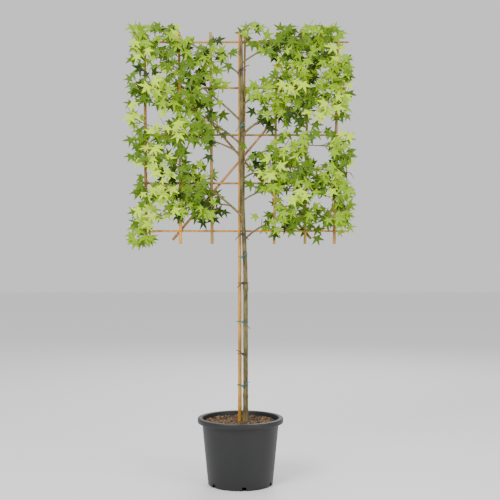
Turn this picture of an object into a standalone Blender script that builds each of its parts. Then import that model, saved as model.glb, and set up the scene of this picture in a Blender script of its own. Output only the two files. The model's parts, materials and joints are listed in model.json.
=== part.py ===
"""A pleached sweetgum tree in a nursery pot, tied to a stake and a bamboo cane frame.

Metres, +Z up. The origin is the middle of the pot's underside. The frame faces -Y,
and +X is to the right of someone who looks at its front.
"""

import math
import random
from collections import namedtuple

import bmesh
import bpy
from mathutils import Matrix, Vector
from mathutils.bvhtree import BVHTree

CLEAR = 0.0003  # left between solids that touch
OBJECT = "pleached_sweetgum"

# The pot: a turned shell with a lip, a flat floor and drainage notches
POT_HEIGHT = 0.378
POT_RIM_DIAMETER = 0.485
POT_LIP_HEIGHT = 0.028
POT_LIP_STANDS_OUT = 0.025
POT_FOOT_DIAMETER = 0.367
POT_WALL = 0.004
POT_SIDES = 32
NOTCHES = 6
NOTCH_WIDTH = 0.024
NOTCH_HEIGHT = 0.022
FIRST_NOTCH_DEG = -83
SOIL_TOP = 0.355
SOIL_MOUND = 0.006  # how much lower the soil lies at the wall than at the trunk
SOIL_FLAT_RADIUS = 0.06

# The trunk: a straight foot, a lean to the left under the crown, then upright
TRUNK_FOOT_X = 0.029
TRUNK_TOP_X = 0.006
LEAN_FROM, LEAN_TO = 1.10, 1.80
TRUNK_TOP = 2.56
TRUNK_FOOT_DIAMETER = 0.028
TRUNK_CROWN_DIAMETER = 0.0245
CROWN_FOOT = 1.40
TRUNK_TIP_DIAMETER = 0.010
CROWN_TAPER = 4.5  # the trunk keeps its width for most of the crown, then thins fast
FLARE = 0.009  # added to the radius at the soil
FLARE_HEIGHT = 0.035
TRUNK_STEP = 0.07

# The bamboo: a thick stake, and a frame of canes lashed into a grid with two braces
FRAME_BACK = 0.030  # the backs of the stake and the uprights lie in this plane
FRAME_SIDE = 1.20
FRAME_TOP = 2.56
RAIL_LEFT = -0.585
STAKE_FOOT_X, STAKE_TOP_X = -0.003, -0.007
STAKE_FOOT_DIAMETER, STAKE_TOP_DIAMETER = 0.023, 0.0115
STAKE_DEPTH = 0.22  # driven this far into the soil
UPRIGHTS = [  # x at the top, x at the bottom, diameter
    (-0.543, -0.535, 0.019),
    (-0.348, -0.340, 0.018),
    (-0.170, -0.161, 0.018),
    (0.026, 0.015, 0.014),
    (0.207, 0.191, 0.015),
    (0.385, 0.366, 0.0155),
    (0.553, 0.532, 0.018),
]
MIDDLE_UPRIGHT = 3
RAIL_HEIGHTS = [2.506, 2.246, 1.979, 1.705, 1.433]
RAIL_DIAMETER = 0.0125
BRACE_DIAMETER = 0.015
BRACES = [((-0.387, 1.383), (0.207, 2.085)), ((0.403, 1.389), (-0.195, 2.085))]
CANE_NODE_SWELL = 1.14
CANE_NODE_HALF = 0.004
UPRIGHT_TAPER = 0.86
UPRIGHT_NODE_SPACING = 0.27
RAIL_FIRST_NODE, RAIL_NODE_SPACING = 0.14, 0.366
BRACE_FIRST_NODE, BRACE_NODE_SPACING = 0.22, 0.30
STAKE_FIRST_NODE, STAKE_NODE_SPACING = 0.11, 0.27

# Ties that hold the trunk to the stake
TIE_HEIGHTS = [0.557, 0.738, 0.919, 1.140, 1.287, 1.417, 2.028, 2.345]
TIE_THICKNESS = 0.0026
TIE_SIDES = 12

# Limbs: each starts on the trunk at a height, or on another limb at a share of its length
Limb = namedtuple("Limb", "parent start leaves reach top ends bare width")
LIMBS = {
    "left_1": Limb("trunk", 2.31, 42, -0.48, 2.57, 20, 0.14, 0.010),
    "left_2": Limb("trunk", 2.05, 47, -0.60, 2.54, 42, 0.22, 0.013),
    "left_3": Limb("trunk", 1.92, 44, -0.57, 2.24, 14, 0.24, 0.013),
    "left_4": Limb("trunk", 1.86, 42, -0.59, 2.06, 28, 0.24, 0.012),
    "left_5": Limb("trunk", 1.51, 47, -0.60, 1.93, 25, 0.30, 0.015),
    "left_6": Limb("left_5", 0.27, 12, -0.53, 1.67, 0, 0.12, 0.009),
    "left_7": Limb("left_5", 0.14, 14, -0.58, 1.44, -40, 0.10, 0.009),
    "right_1": Limb("trunk", 2.38, 38, 0.50, 2.54, -12, 0.24, 0.011),
    "right_2": Limb("right_1", 0.20, 12, 0.62, 2.35, -36, 0.12, 0.008),
    "right_3": Limb("trunk", 2.14, 43, 0.58, 2.29, -10, 0.13, 0.012),
    "right_4": Limb("trunk", 1.97, 50, 0.60, 2.17, -6, 0.20, 0.016),
    "right_5": Limb("trunk", 1.81, 47, 0.54, 1.90, -12, 0.14, 0.012),
    "right_6": Limb("trunk", 1.72, 44, 0.62, 1.76, -6, 0.14, 0.011),
    "right_7": Limb("trunk", 1.60, 44, 0.57, 1.64, -10, 0.16, 0.010),
    "right_8": Limb("trunk", 1.38, 52, 0.60, 1.54, -10, 0.22, 0.013),
}
LIMB_POINTS = 26
LIMB_PULL = 0.85  # how far each end's heading bends the limb, as a share of its span
LIMB_FORWARD = 0.035  # how far a limb's tip stands in front of the trunk's middle
LIMB_END_WIDTH = 0.0042
BOUGH_POINTS = 7
STEM_POINTS = 8
COLLAR = 0.012  # share of a limb on each side of where its bough ends and its stem begins
FOOT_SWELL = 1.15

# Foliage: a three-sided stem, twigs round it by a turning rule, leaves hung on the twigs
SEED = 20
STEM_SWELL = 1.15  # makes a three-sided stem look as thick as the round bough it goes on from
TWIG_SPACING = 0.080
TWIG_TURN = math.radians(137.5)
TWIG_LEAN = math.radians(55)
TWIG_LENGTHS = (0.07, 0.15)
TWIG_WIDTHS = (0.0066, 0.0050)
TWIG_TRIES = 5
LEAF_REACH = 0.070  # from the leaf's middle to the tip of its middle lobe
LEAF_VARIES = 0.14
LEAF_THICKNESS = 0.0028
LEAF_SPACING = 0.048
LEAF_TRIES = 14
STALK = 0.72  # as a share of the leaf's reach
STALK_SINKS = 0.0011  # past the middle of the twig, so that the stalk's end stays inside it
CUP = 0.16
CROWN_SIDE = 0.665
CROWN_LOW, CROWN_HIGH = 1.315, 2.640
CROWN_DEPTH = 0.19
LEADER_SPREAD = 0.06
LEADER_RISE = 0.05

# Half of a leaf's outline from its stalk round to its middle lobe: turn from the tip, reach
LEAF_OUTLINE = [(155, 0.16), (116, 0.72), (88, 0.27), (60, 0.96), (30, 0.30)]

# Gaps that stay open to the sky between the limbs: left, right, low, high
SKY = [
    (-0.12, -0.01, 2.26, 2.36),
    (-0.10, -0.01, 2.12, 2.22),
    (-0.12, -0.02, 2.00, 2.07),
    (-0.28, -0.19, 1.83, 1.93),
    (-0.14, -0.02, 1.73, 1.92),
    (-0.14, -0.04, 1.64, 1.69),
    (-0.56, -0.46, 2.02, 2.12),
    (-0.50, -0.26, 1.44, 1.50),
    (-0.32, -0.20, 2.51, 2.57),
    (-0.07, 0.00, 2.52, 2.63),
    (0.03, 0.19, 2.33, 2.38),
    (0.03, 0.17, 1.93, 2.04),
    (0.05, 0.17, 1.53, 1.66),
    (0.22, 0.29, 1.61, 1.68),
    (0.40, 0.47, 1.83, 1.95),
    (0.42, 0.52, 1.57, 1.64),
    (-0.50, 0.02, 1.30, 1.40),
    (0.25, 0.42, 1.30, 1.42),
]

COLOURS = {  # colour, roughness
    "pot_plastic": ((0.030, 0.032, 0.034), 0.45),
    "compost": ((0.060, 0.036, 0.022), 0.95),
    "bark": ((0.180, 0.140, 0.075), 0.80),
    "bamboo": ((0.560, 0.370, 0.150), 0.50),
    "young_bark": ((0.240, 0.190, 0.090), 0.75),
    "tie_rubber": ((0.020, 0.022, 0.022), 0.60),
    "leaf_green": ((0.240, 0.340, 0.035), 0.50),
}

Y_AXIS = Vector((0, 1, 0))


def clear_scene():
    for obj in list(bpy.data.objects):
        bpy.data.objects.remove(obj, do_unlink=True)


def collection(name, hidden=False):
    made = bpy.data.collections.new(name)
    bpy.context.scene.collection.children.link(made)
    made.hide_render = hidden
    return made


def material(name):
    colour, roughness = COLOURS[name]
    made = bpy.data.materials.get(name) or bpy.data.materials.new(name)
    made.use_nodes = True
    shader = made.node_tree.nodes["Principled BSDF"]
    shader.inputs["Base Color"].default_value = (*colour, 1)
    shader.inputs["Roughness"].default_value = roughness
    return made


def add_object(name, data, group, finish=None):
    obj = bpy.data.objects.new(name, data)
    group.objects.link(obj)
    if finish:
        data.materials.append(material(finish))
    return obj


def remove_object(obj):
    data = obj.data
    kind = bpy.data.curves if obj.type == "CURVE" else bpy.data.meshes
    bpy.data.objects.remove(obj, do_unlink=True)
    if data.users == 0:
        kind.remove(data)


def evaluated_mesh(obj):
    graph = bpy.context.evaluated_depsgraph_get()
    return bpy.data.meshes.new_from_object(obj.evaluated_get(graph))


def triangle_profile():
    """The three-sided section that stems and twigs are drawn with."""
    made = bpy.data.objects.get("triangle_profile")
    if made:
        return made
    curve = bpy.data.curves.new("triangle_profile", "CURVE")
    spline = curve.splines.new("POLY")
    spline.points.add(2)
    spline.use_cyclic_u = True
    for i, point in enumerate(spline.points):
        turn = math.radians(90 + 120 * i)
        point.co = (math.cos(turn), math.sin(turn), 0, 1)
    made = add_object("triangle_profile", curve, guides)
    made.hide_render = True
    made.display_type = "WIRE"
    return made


def tube(name, points, radii, group, finish=None, sides=8, closed=False):
    """A round or three-sided bar along the points, with its radius given at each."""
    curve = bpy.data.curves.new(name, "CURVE")
    curve.dimensions = "3D"
    curve.use_fill_caps = not closed
    spline = curve.splines.new("POLY")
    spline.points.add(len(points) - 1)
    spline.use_cyclic_u = closed
    if sides == 3:
        curve.bevel_mode = "OBJECT"
        curve.bevel_object = triangle_profile()
    else:
        curve.bevel_depth = 1.0
        curve.bevel_resolution = (sides - 4) // 2
    for point, place, radius in zip(spline.points, points, radii):
        point.co = (*place, 1)
        point.radius = radius
    spline.use_smooth = sides > 3
    return add_object(name, curve, group, finish)


def as_mesh(obj, group=None):
    """The curve object made a mesh with its caps welded, in the same place."""
    mesh = evaluated_mesh(obj)
    weld = bmesh.new()
    weld.from_mesh(mesh)
    bmesh.ops.remove_doubles(weld, verts=weld.verts, dist=1e-6)
    bmesh.ops.recalc_face_normals(weld, faces=weld.faces)
    weld.to_mesh(mesh)
    weld.free()
    name, place, old_group = obj.name, obj.matrix_world.copy(), obj.users_collection[0]
    remove_object(obj)
    mesh.name = name
    made = add_object(name, mesh, group or old_group)
    made.matrix_world = place
    return made


def cut(obj, cutter):
    """Takes the cutter out of the object, and hides the cutter."""
    cutter.hide_render = True
    cutter.display_type = "WIRE"
    boolean = obj.modifiers.new("Cut " + cutter.name, "BOOLEAN")
    boolean.operation = "DIFFERENCE"
    boolean.object = cutter


def turned(name, profile, sides, group, finish):
    """A profile of (radius, height) pairs, from the top of its outside down, spun round Z."""
    mesh = bpy.data.meshes.new(name)
    shape = bmesh.new()
    points = [shape.verts.new((radius, 0, height)) for radius, height in profile]
    for first, second in zip(points, points[1:]):
        shape.edges.new((first, second))
    shape.to_mesh(mesh)
    shape.free()
    obj = add_object(name, mesh, group, finish)
    screw = obj.modifiers.new("Turn", "SCREW")
    screw.steps = screw.render_steps = sides
    screw.use_merge_vertices = True
    screw.merge_threshold = 1e-5
    return obj


def box_cutter(name, size, place, turn):
    mesh = bpy.data.meshes.new(name)
    shape = bmesh.new()
    bmesh.ops.create_cube(shape, size=1)
    bmesh.ops.scale(shape, vec=size, verts=shape.verts)
    shape.to_mesh(mesh)
    shape.free()
    obj = add_object(name, mesh, guides)
    obj.matrix_world = Matrix.Rotation(turn, 4, "Z") @ Matrix.Translation(place)
    return obj


def pot_wall_radius(height):
    """The outside of the pot's straight wall, which tapers to its foot."""
    under_lip = POT_RIM_DIAMETER / 2 - POT_LIP_STANDS_OUT
    share = height / (POT_HEIGHT - POT_LIP_HEIGHT)
    return POT_FOOT_DIAMETER / 2 + (under_lip - POT_FOOT_DIAMETER / 2) * share


def make_pot():
    rim = POT_RIM_DIAMETER / 2
    under = POT_HEIGHT - POT_LIP_HEIGHT
    neck = pot_wall_radius(under)
    round_edge = 0.006
    inner_top = pot_wall_radius(POT_HEIGHT - round_edge) - POT_WALL
    profile = [
        (inner_top, POT_HEIGHT - round_edge),
        (inner_top + POT_WALL, POT_HEIGHT),
        (rim - round_edge, POT_HEIGHT),
        (rim, POT_HEIGHT - round_edge),
        (rim, under + POT_WALL),
        (rim - POT_WALL, under),
        (neck, under),
        (pot_wall_radius(round_edge), round_edge),
        (POT_FOOT_DIAMETER / 2 - round_edge, 0),
        (0, 0),
        (0, POT_WALL),
        (pot_wall_radius(POT_WALL) - POT_WALL, POT_WALL),
        (inner_top, POT_HEIGHT - round_edge),
    ]
    pot = turned("pot", profile, POT_SIDES, parts, "pot_plastic")
    reach = POT_WALL * 6
    for i in range(NOTCHES):
        turn = math.radians(FIRST_NOTCH_DEG + 360 / NOTCHES * i)
        place = (POT_FOOT_DIAMETER / 2, 0, NOTCH_HEIGHT / 2 - POT_WALL)
        size = (reach, NOTCH_WIDTH, NOTCH_HEIGHT + 2 * POT_WALL)
        cut(pot, box_cutter(f"notch_{i + 1}", size, place, turn))
    return pot


def make_soil():
    floor = POT_WALL + CLEAR
    inner = POT_WALL + 2 * CLEAR
    edge = SOIL_TOP - SOIL_MOUND
    profile = [
        (0, SOIL_TOP),
        (SOIL_FLAT_RADIUS, SOIL_TOP),
        (pot_wall_radius(edge) - inner, edge),
        (pot_wall_radius(floor) - inner, floor),
        (0, floor),
    ]
    soil = turned("soil", profile, POT_SIDES, parts, "compost")
    bore = tube("stake_bore", *stake_line(CLEAR), guides, sides=8)
    cut(soil, as_mesh(bore))
    return soil


def smooth_step(share):
    share = min(max(share, 0), 1)
    return share * share * (3 - 2 * share)


def trunk_middle(height):
    lean = smooth_step((height - LEAN_FROM) / (LEAN_TO - LEAN_FROM))
    return Vector((TRUNK_FOOT_X + (TRUNK_TOP_X - TRUNK_FOOT_X) * lean, 0, height))


def trunk_radius(height):
    foot = SOIL_TOP + CLEAR
    if height < CROWN_FOOT:
        share = (height - foot) / (CROWN_FOOT - foot)
        width = TRUNK_FOOT_DIAMETER + (TRUNK_CROWN_DIAMETER - TRUNK_FOOT_DIAMETER) * share
    else:
        share = ((height - CROWN_FOOT) / (TRUNK_TOP - CROWN_FOOT)) ** CROWN_TAPER
        width = TRUNK_CROWN_DIAMETER + (TRUNK_TIP_DIAMETER - TRUNK_CROWN_DIAMETER) * share
    return width / 2 + FLARE * math.exp(-(height - foot) / FLARE_HEIGHT)


def trunk_line(grow=0.0):
    foot = SOIL_TOP + CLEAR
    heights = [foot + FLARE_HEIGHT * share for share in (0, 0.35, 0.8, 1.5)]
    while heights[-1] < TRUNK_TOP - TRUNK_STEP:
        heights.append(heights[-1] + TRUNK_STEP)
    heights.append(TRUNK_TOP + grow)
    return [trunk_middle(h) for h in heights], [trunk_radius(h) + grow for h in heights]


def stake_line(grow=0.0):
    """The stake's points and radii, its back held in the frame's plane all the way up."""
    foot = SOIL_TOP - STAKE_DEPTH - grow
    radii = (STAKE_FOOT_DIAMETER / 2, STAKE_TOP_DIAMETER / 2)
    ends = [
        Vector((STAKE_FOOT_X, FRAME_BACK - radii[0], foot)),
        Vector((STAKE_TOP_X, FRAME_BACK - radii[1], FRAME_TOP)),
    ]
    points, sizes = cane_line(*ends, *radii, STAKE_FIRST_NODE, STAKE_NODE_SPACING)
    return points, [size + grow for size in sizes]


def cane_line(start, end, start_radius, end_radius, first_node, node_spacing):
    """Points and radii along a cane, with a swollen ring at each of its nodes."""
    span = (end - start).length
    marks = [(0, 1)]
    place = first_node
    while place < span - 0.03:
        marks += [
            (place - CANE_NODE_HALF, 1),
            (place, CANE_NODE_SWELL),
            (place + CANE_NODE_HALF, 1),
        ]
        place += node_spacing
    marks.append((span, 1))
    points = [start.lerp(end, mark / span) for mark, _ in marks]
    radii = [
        (start_radius + (end_radius - start_radius) * mark / span) * swell
        for mark, swell in marks
    ]
    return points, radii


def make_cane(name, start, end, radii, first_node, node_spacing):
    line = cane_line(start, end, *radii, first_node, node_spacing)
    return tube(name, *line, parts, "bamboo", sides=6)


def upright_ends(number):
    """The foot and the top of one upright, its back in the frame's plane, and its radii."""
    top_x, foot_x, width = UPRIGHTS[number]
    radii = (width / 2, UPRIGHT_TAPER * width / 2)
    foot = Vector((foot_x, FRAME_BACK - radii[0], FRAME_TOP - FRAME_SIDE))
    return foot, Vector((top_x, FRAME_BACK - radii[1], FRAME_TOP)), radii


def make_frame():
    """Uprights with their backs in one plane, rails behind them, braces behind the rails.

    The swollen nodes lie between the crossings, so that canes meet on their plain lengths.
    """
    made = []
    rng = random.Random(SEED)
    for i in range(len(UPRIGHTS)):
        node = RAIL_HEIGHTS[-1] - (FRAME_TOP - FRAME_SIDE) + rng.uniform(0.05, 0.20)
        made.append(make_cane(f"cane_upright_{i + 1}", *upright_ends(i), node, UPRIGHT_NODE_SPACING))
    radii = (RAIL_DIAMETER / 2, RAIL_DIAMETER / 2)
    rail_y = FRAME_BACK + CLEAR + radii[0]
    for i, height in enumerate(RAIL_HEIGHTS):
        left = Vector((RAIL_LEFT, rail_y, height))
        right = left + Vector((FRAME_SIDE, 0, 0))
        ends = (left, right) if i % 2 else (right, left)
        name = f"cane_rail_{i + 1}"
        made.append(make_cane(name, *ends, radii, RAIL_FIRST_NODE, RAIL_NODE_SPACING))
    radii = (BRACE_DIAMETER / 2, BRACE_DIAMETER / 2)
    brace_y = rail_y + RAIL_DIAMETER / 2 + CLEAR + radii[0]
    for i, (low, high) in enumerate(BRACES):
        y = brace_y + i * (BRACE_DIAMETER + CLEAR)
        ends = [Vector((x, y, z)) for x, z in (low, high)]
        name = f"cane_brace_{i + 1}"
        made.append(make_cane(name, *ends, radii, BRACE_FIRST_NODE, BRACE_NODE_SPACING))
    return made


def point_at_height(first, last, height):
    return first.lerp(last, (height - first.z) / (last.z - first.z))


def stake_radius(height):
    points, radii = stake_line()
    for (low, low_radius), (high, high_radius) in zip(
        zip(points, radii), zip(points[1:], radii[1:])
    ):
        if low.z <= height <= high.z:
            share = (height - low.z) / (high.z - low.z)
            return low_radius + (high_radius - low_radius) * share
    return radii[-1]


def make_tie(name, height):
    """A loop drawn tight round the trunk, the stake and, inside the frame, its middle cane."""
    stake = stake_line()[0]
    rounds = [
        (trunk_middle(height), trunk_radius(height)),
        (point_at_height(stake[0], stake[-1], height), stake_radius(height)),
    ]
    foot, top, radii = upright_ends(MIDDLE_UPRIGHT)
    if height > foot.z:
        rounds.append((point_at_height(foot, top, height), radii[0]))
    stand_off = TIE_THICKNESS / 2 + 2.5 * CLEAR
    loop = []
    for i in range(TIE_SIDES):
        turn = 2 * math.pi * i / TIE_SIDES
        way = Vector((math.cos(turn), math.sin(turn), 0))
        middle, radius = max(rounds, key=lambda item: item[0].dot(way) + item[1])
        spread = (radius + stand_off) / math.cos(math.pi / TIE_SIDES)
        loop.append(middle + way * spread)
    radii = [TIE_THICKNESS / 2] * TIE_SIDES
    return tube(name, loop, radii, parts, "tie_rubber", sides=4, closed=True)


def limb_line(name):
    """Points along a limb from its foot to its tip, on a curve set by its two headings."""
    limb = LIMBS[name]
    side = math.copysign(1, limb.reach)
    if limb.parent == "trunk":
        foot = trunk_middle(limb.start)
    else:
        foot = point_along(limb_line(limb.parent), limb.start)
    tip = Vector((limb.reach, -LIMB_FORWARD, limb.top))
    span = (tip - foot).length * LIMB_PULL
    leave, arrive = math.radians(limb.leaves), math.radians(limb.ends)
    out = Vector((side * math.cos(leave), 0, math.sin(leave))) * span
    into = Vector((side * math.cos(arrive), -0.1, math.sin(arrive))) * span
    points = []
    for i in range(LIMB_POINTS + 1):
        t = i / LIMB_POINTS
        points.append(
            foot * (2 * t**3 - 3 * t**2 + 1)
            + out * (t**3 - 2 * t**2 + t)
            + tip * (3 * t**2 - 2 * t**3)
            + into * (t**3 - t**2)
        )
    return points


def point_along(points, share):
    place = share * (len(points) - 1)
    i = min(int(place), len(points) - 2)
    return points[i].lerp(points[i + 1], place - i)


def limb_radius(name, share):
    """A limb's radius: swollen at its foot, then an even taper to its tip."""
    width = LIMBS[name].width
    taper = width + (LIMB_END_WIDTH - width) * share**0.8
    swell = 1 + (FOOT_SWELL - 1) * math.exp(-share / 0.03)
    return taper * swell / 2


def bough_line(name, grow=0.0):
    """The bare part of a limb, ending in a short collar that lies on the limb's heading."""
    bare = LIMBS[name].bare
    collar = bare - COLLAR
    shares = [collar * i / (BOUGH_POINTS - 2) for i in range(BOUGH_POINTS - 1)] + [bare]
    line = limb_line(name)
    return (
        [point_along(line, share) for share in shares],
        [limb_radius(name, share) + grow for share in shares],
    )


def make_bough(name, cutters):
    """The bare part of a limb, cut clear of what it grows from."""
    bough = as_mesh(tube("bough_" + name, *bough_line(name), parts, sides=6))
    bough.data.materials.append(material("young_bark"))
    parent = LIMBS[name].parent
    if parent not in cutters:
        line = trunk_line(CLEAR) if parent == "trunk" else bough_line(parent, CLEAR)
        sides = 10 if parent == "trunk" else 6
        cutters[parent] = as_mesh(tube("around_" + parent, *line, guides, sides=sides))
    cut(bough, cutters[parent])
    return bough


class Taken:
    """The space that is already held, as (owner, middle, radius, tree) for each solid."""

    def __init__(self):
        self.held = []

    def add(self, owner, obj):
        mesh = evaluated_mesh(obj)
        mesh.transform(obj.matrix_world)
        self.held.append((owner, *ball_and_tree(mesh)))
        bpy.data.meshes.remove(mesh)

    def hit(self, mesh, spared=()):
        """Whether the mesh meets any held solid but those of the spared owners."""
        middle, radius, tree = ball_and_tree(mesh)
        for owner, other_middle, other_radius, other in self.held:
            if owner in spared:
                continue
            if (middle - other_middle).length < radius + other_radius and tree.overlap(other):
                return True
        return False


def ball_and_tree(mesh):
    points = [v.co.copy() for v in mesh.vertices]
    middle = sum(points, Vector()) / len(points)
    radius = max((p - middle).length for p in points)
    return middle, radius, BVHTree.FromPolygons(points, [tuple(p.vertices) for p in mesh.polygons])


def leaf_mesh(reach, swell=1.0):
    """A thin five-lobed star with a stalk, pointing along +Y and facing +Z."""
    shape = bmesh.new()
    corners = 2 * len(LEAF_OUTLINE) + 2
    bmesh.ops.create_uvsphere(shape, u_segments=corners, v_segments=2, radius=1)
    poles = [v for v in shape.verts if abs(v.co.z) > 0.5]
    ring = [v for v in shape.verts if v not in poles]
    ring.sort(key=lambda v: math.atan2(v.co.y, v.co.x))
    stalk_end = [(180, STALK + STALK_SINKS / reach)]
    right = [(-turn, length) for turn, length in LEAF_OUTLINE]
    left = LEAF_OUTLINE[::-1]
    outline = stalk_end + right + [(0, 1.0)] + left
    for vert, (turn, length) in zip(ring, outline):
        turn = math.radians(90 + turn)
        drop = CUP * length**2 if length > 0.5 and vert is not ring[0] else 0
        vert.co = Vector((math.cos(turn) * length, math.sin(turn) * length, -drop)) * reach * swell
    for pole in poles:
        pole.co.z = math.copysign(LEAF_THICKNESS / 2 * swell, pole.co.z)
    mesh = bpy.data.meshes.new("leaf")
    shape.to_mesh(mesh)
    shape.free()
    return mesh


def leaf_pose(root, rng, reach, outward):
    """A place for a leaf whose stalk ends at the root: most hang and face out of the crown."""
    front = -1 if root.y < 0.01 else 1
    facing = Vector((rng.gauss(0, 0.38), front, rng.gauss(0.42, 0.30))).normalized()
    way = outward * rng.uniform(-0.1, 0.9) + Vector((rng.gauss(0, 0.6), 0, rng.gauss(-0.25, 0.55)))
    way += Vector((0, front * 0.25, 0))
    way = (way - facing * way.dot(facing)).normalized()
    middle = root + way * STALK * reach
    side = way.cross(facing)
    turn = Matrix((side, way, facing)).transposed().to_4x4()
    return Matrix.Translation(middle) @ turn


def in_window(point):
    return any(l < point.x < r and low < point.z < high for l, r, low, high in SKY)


def in_crown(point):
    return (
        abs(point.x) < CROWN_SIDE
        and CROWN_LOW < point.z < CROWN_HIGH
        and abs(point.y) < CROWN_DEPTH
    )


def nearest_mass(point, stems):
    """The mass whose stem passes closest, seen from the front."""
    def gap(name):
        return min((p.x - point.x) ** 2 + (p.z - point.z) ** 2 for p in stems[name])
    return min(stems, key=gap)


def stem_shares(name):
    bare = LIMBS[name].bare
    collar = bare + COLLAR
    steps = STEM_POINTS - 2
    return [bare] + [collar + (1 - collar) * i / steps for i in range(steps + 1)]


def stem_points(name):
    """The leafy part of a limb, from just beyond the end of its bough."""
    if name == "leader":
        foot = Vector((TRUNK_TOP_X, 0, TRUNK_TOP + 2 * CLEAR))
        leans = [max(0, i - 1) / 4 for i in range(6)]
        rises = [LEADER_RISE * i / 5 for i in range(6)]
        return [foot + Vector((LEADER_SPREAD * a**1.3, 0, z)) for a, z in zip(leans, rises)]
    line = limb_line(name)
    points = [point_along(line, share) for share in stem_shares(name)]
    points[0] += (points[1] - points[0]).normalized() * CLEAR
    return points


def stem_radii(name, count):
    if name == "leader":
        return [TRUNK_TIP_DIAMETER / 2 * (1 - 0.12 * i) for i in range(count)]
    return [limb_radius(name, share) * STEM_SWELL for share in stem_shares(name)]


def twig_tries(stem, share, number, rng):
    """Lines that a twig could take from the stem, turned a little further each time."""
    foot = point_along(stem, share)
    ahead = (point_along(stem, min(share + 0.05, 1)) - point_along(stem, share - 0.05)).normalized()
    flank = ahead.cross(Y_AXIS).normalized()
    for attempt in range(TWIG_TRIES):
        turn = TWIG_TURN * number + math.radians(40) * attempt + rng.uniform(-0.3, 0.3)
        around = flank * math.cos(turn) + flank.cross(ahead) * math.sin(turn)
        way = ahead * math.cos(TWIG_LEAN) + around * math.sin(TWIG_LEAN)
        length = rng.uniform(*TWIG_LENGTHS) * (1 - 0.35 * abs(around.y)) * (1 - 0.09 * attempt)
        yield [foot, foot + way * length]


def grow_leaves(name, places, rng, taken, stems):
    """Leaves hung at the places that have room for one, and the wood that holds them."""
    made, holders = [], []
    for root, outward, holder in places:
        for _ in range(LEAF_TRIES):
            reach = LEAF_REACH * (1 + rng.uniform(-LEAF_VARIES, LEAF_VARIES))
            pose = leaf_pose(root, rng, reach, outward)
            blade = leaf_mesh(reach, 1.06)
            blade.transform(pose)
            points = [v.co for v in blade.vertices]
            middle = pose.translation
            allowed = (
                all(in_crown(p) for p in points)
                and not any(in_window(p) for p in points if (p - middle).length > reach * 0.5)
                and not in_window(middle)
                and nearest_mass(middle, stems) == name
                and not taken.hit(blade, spared=(name + "_wood",))
            )
            bpy.data.meshes.remove(blade)
            if allowed:
                leaf = leaf_mesh(reach)
                leaf.transform(pose)
                made.append(add_object("leaf", leaf, guides))
                holders.append(holder)
                taken.add(name, made[-1])
                break
    return made, holders


def grow_mass(name, taken, stems):
    """One mass of foliage: a stem, its twigs and their leaves, fused into one solid."""
    rng = random.Random(f"{SEED} {name}")
    stem = stems[name]
    body = as_mesh(tube("foliage_" + name, stem, stem_radii(name, len(stem)), parts, sides=3))
    body.data.materials.append(material("leaf_green"))
    length = sum((b - a).length for a, b in zip(stem, stem[1:]))
    outward = (stem[-1] - stem[0]).normalized()
    places, twigs = [], []
    count = max(2, round(length / TWIG_SPACING))
    for number in range(count):
        share = 0.06 + 0.90 * (number + 0.5) / count
        for line in twig_tries(stem, share, number, rng):
            radii = [width / 2 for width in TWIG_WIDTHS]
            twig = as_mesh(tube("twig", line, radii, guides, sides=3))
            off = line[-1]
            if in_crown(off) and nearest_mass(off, stems) == name and not taken.hit(
                twig.data, spared=(name + "_wood",)
            ):
                twigs.append(twig)
                taken.add(name + "_wood", twig)
                way = (line[-1] - line[0]).normalized()
                along = max(1, round((line[-1] - line[0]).length / LEAF_SPACING))
                for i in range(along):
                    spot = point_along(line, 0.97 - i * 0.62 / along)
                    places.append((spot, way, twig))
                break
            remove_object(twig)
        places.append((point_along(stem, share), outward, body))
    places.append((point_along(stem, 0.985), outward, body))
    leaves, holders = grow_leaves(name, places, rng, taken, stems)
    for twig in [twig for twig in twigs if twig not in holders]:
        twigs.remove(twig)
        remove_object(twig)
    return fuse([body, *twigs, *leaves]), len(leaves)


def fuse(pieces):
    """The pieces joined into the first by one Boolean union, and the others removed."""
    first, others = pieces[0], pieces[1:]
    group = bpy.data.collections.new("to_fuse")
    for obj in others:
        group.objects.link(obj)
    union = first.modifiers.new("Union", "BOOLEAN")
    union.operation = "UNION"
    union.operand_type = "COLLECTION"
    union.collection = group
    union.solver = "MANIFOLD"
    mesh = evaluated_mesh(first)
    first.modifiers.remove(union)
    for obj in others:
        remove_object(obj)
    bpy.data.collections.remove(group)
    keep_largest_body(mesh)
    old = first.data
    first.data = mesh
    bpy.data.meshes.remove(old)
    mesh.name = first.name
    return first


def keep_largest_body(mesh):
    """Drops loose scraps, and the walls of any hollow that the union sealed."""
    shape = bmesh.new()
    shape.from_mesh(mesh)
    left = set(shape.verts)
    bodies = []
    while left:
        seen = {left.pop()}
        front = list(seen)
        while front:
            vert = front.pop()
            for edge in vert.link_edges:
                other = edge.other_vert(vert)
                if other not in seen:
                    seen.add(other)
                    front.append(other)
        left -= seen
        bodies.append(seen)
    bodies.sort(key=len)
    dropped = [vert for body in bodies[:-1] for vert in body]
    bmesh.ops.delete(shape, geom=dropped, context="VERTS")
    shape.to_mesh(mesh)
    shape.free()


def smooth(obj):
    if obj.type == "MESH":
        obj.data.shade_smooth()
        obj.data.set_sharp_from_angle(angle=math.radians(40))


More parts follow.
